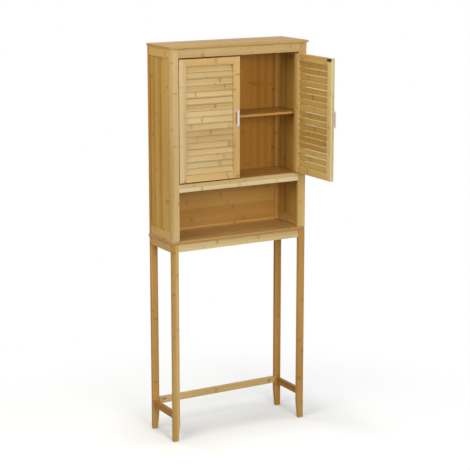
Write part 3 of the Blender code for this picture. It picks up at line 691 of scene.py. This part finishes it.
def dress_strike_plate(body):
    """The strike plate's two screws, nearly flush, so that the catch clears them when the door closes."""
    facing, along = inner_side(body)
    low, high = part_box(body + "_strike_plate")
    middle = (low + high) / 2.0
    spread = max(high - low) * STRIKE_SCREW_SPREAD
    surface = (high.y - middle.y) if runs_along_x(body) else (middle.x - low.x)
    for index, way in ((1, -1.0), (2, 1.0)):
        place = middle + along * way * spread + facing * (surface - STRIKE_SCREW_SINK)
        screw_head("%s_strike_screw_%d" % (body, index), STRIKE_SCREW, place, facing, body,
                   BLACK_METAL)


def dress_barrel_nuts():
    """Slotted discs of the barrel nuts in the rear stretcher."""
    for word in ("left", "right"):
        node = "barrel_nut_" + word
        low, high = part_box(node)
        middle = (low + high) / 2.0
        radius = (high.x - low.x) / 2.0
        length = high.y - low.y
        profile = [(0.0, 0.0), (radius, 0.0), (radius, length - NUT_EASE), (radius - NUT_EASE, length),
                   (0.0, length)]
        piece = new_piece(node + "_slotted", turned_bm(profile), ZINC, "cabinet")
        slot = bmesh.new()
        add_box(slot, (-radius * 1.2, -NUT_SLOT_HALF, length - NUT_SLOT_DEPTH),
                (radius * 1.2, NUT_SLOT_HALF, length + 0.001))
        cut_with(piece, slot)
        piece.matrix_world = (Matrix.Translation((middle.x, high.y, middle.z))
                              @ Matrix.Rotation(math.radians(90.0), 4, "X")
                              @ Matrix.Rotation(NUT_TURNS[word], 4, "Z"))
        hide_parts(node)


def make_catch():
    """Magnetic catch: a moulded housing with a pocket, and two steel pole pieces in it."""
    low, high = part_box("magnetic_catch")
    bm = bmesh.new()
    add_box(bm, low, high)
    bmesh.ops.bevel(bm, geom=list(bm.edges), offset=CATCH_EASE, segments=4, profile=0.5, affect="EDGES")
    housing = new_piece("magnetic_catch_housing", bm, CATCH_BODY, "cabinet")
    pocket = bmesh.new()
    add_box(pocket, (low.x + 0.005, low.y - 0.001, low.z + 0.004),
            (high.x - 0.005, low.y + 0.006, low.z + 0.013))
    cut_with(housing, pocket)
    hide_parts("magnetic_catch")
    poles = bmesh.new()
    for start in (low.z + 0.0045, low.z + 0.0110):
        add_box(poles, (low.x + 0.0055, low.y + 0.0002, start),
                (high.x - 0.0055, low.y + 0.0055, start + POLE_THICKNESS))
    bmesh.ops.bevel(poles, geom=list(poles.edges), offset=0.0002, segments=2, affect="EDGES")
    new_piece("magnetic_catch_poles", poles, ZINC, "cabinet")


# ---------------------------------------------------------------- studio

def make_floor():
    """A pale floor that takes the rack's shadow and fades to white further out."""
    bm = bmesh.new()
    bmesh.ops.create_grid(bm, x_segments=8, y_segments=8, size=FLOOR_SIZE)
    mesh = bpy.data.meshes.new("studio_floor")
    bm.to_mesh(mesh)
    bm.free()
    material, g, shader = new_material("studio_floor", FLOOR_COLOUR, 0.8)
    place = g.node("ShaderNodeTexCoord").outputs["Object"]
    distance = g.node("ShaderNodeVectorMath", operation="LENGTH")
    g.feed(distance.inputs[0], place)
    white = g.node("ShaderNodeEmission")
    white.inputs["Color"].default_value = WHITE
    blend = g.node("ShaderNodeMixShader")
    g.feed(blend.inputs[0], g.remap(distance.outputs["Value"], *FLOOR_FADE, smooth=True))
    g.feed(blend.inputs[1], shader.outputs[0])
    g.feed(blend.inputs[2], white.outputs[0])
    # It throws less light back than a white floor would, so that the legs stay darker low down
    bounce = g.node("ShaderNodeBsdfDiffuse")
    bounce.inputs["Color"].default_value = FLOOR_BOUNCE
    seen = g.node("ShaderNodeMixShader")
    g.feed(seen.inputs[0], g.node("ShaderNodeLightPath").outputs["Is Camera Ray"])
    g.feed(seen.inputs[1], bounce.outputs[0])
    g.feed(seen.inputs[2], blend.outputs[0])
    g.feed(material.node_tree.nodes["Material Output"].inputs["Surface"], seen.outputs[0])
    mesh.materials.append(material)
    floor = bpy.data.objects.new("studio_floor", mesh)
    bpy.context.scene.collection.objects.link(floor)
    floor.location.z = -FLOOR_DROP


def make_light(name, place, size, power, colour):
    """A round soft light that points at the rack's middle."""
    data = bpy.data.lights.new(name, "AREA")
    data.shape = "DISK"
    data.size = size
    data.energy = power
    data.color = colour
    light = bpy.data.objects.new(name, data)
    bpy.context.scene.collection.objects.link(light)
    light.location = place
    light.rotation_mode = "QUATERNION"
    light.rotation_quaternion = (Vector(LIGHT_TARGET) - light.location).to_track_quat("-Z", "Y")


def make_world():
    """White behind the rack, and a softer white as its light."""
    world = bpy.data.worlds.new("studio_world")
    bpy.context.scene.world = world
    world.use_nodes = True
    g = Graph(world.node_tree)
    light = world.node_tree.nodes["Background"]
    light.inputs["Color"].default_value = WHITE
    light.inputs["Strength"].default_value = AMBIENT
    backdrop = g.node("ShaderNodeBackground")
    backdrop.inputs["Color"].default_value = WHITE
    blend = g.node("ShaderNodeMixShader")
    g.feed(blend.inputs[0], g.node("ShaderNodeLightPath").outputs["Is Camera Ray"])
    g.feed(blend.inputs[1], light.outputs[0])
    g.feed(blend.inputs[2], backdrop.outputs[0])
    g.feed(world.node_tree.nodes["World Output"].inputs["Surface"], blend.outputs[0])


def make_studio():
    bpy.context.scene.view_settings.view_transform = "Standard"
    make_world()
    make_floor()
    for light in LIGHTS:
        make_light(*light)


def make_camera():
    """A long lens, to the left of the rack and a little above it."""
    data = bpy.data.cameras.new("camera")
    data.lens = CAMERA_LENS
    data.sensor_width = CAMERA_SENSOR
    camera = bpy.data.objects.new("camera", data)
    bpy.context.scene.collection.objects.link(camera)
    camera.location = CAMERA_PLACE
    camera.rotation_euler = (math.pi / 2.0 - CAMERA_PITCH, 0.0, -CAMERA_YAW)
    bpy.context.scene.camera = camera


# ---------------------------------------------------------------- build

dress_cad_nodes()
for cad_node in list(NODES.values()):
    smooth_faces(cad_node)
for door, door_seed in (("left_door", 31), ("right_door", 47)):
    make_slats(door, door_seed)
    make_slat_strips(door, door_seed + 5)
    dress_handle_screws(door)
    dress_strike_plate(door)
dress_barrel_nuts()
make_catch()
make_studio()
make_camera()
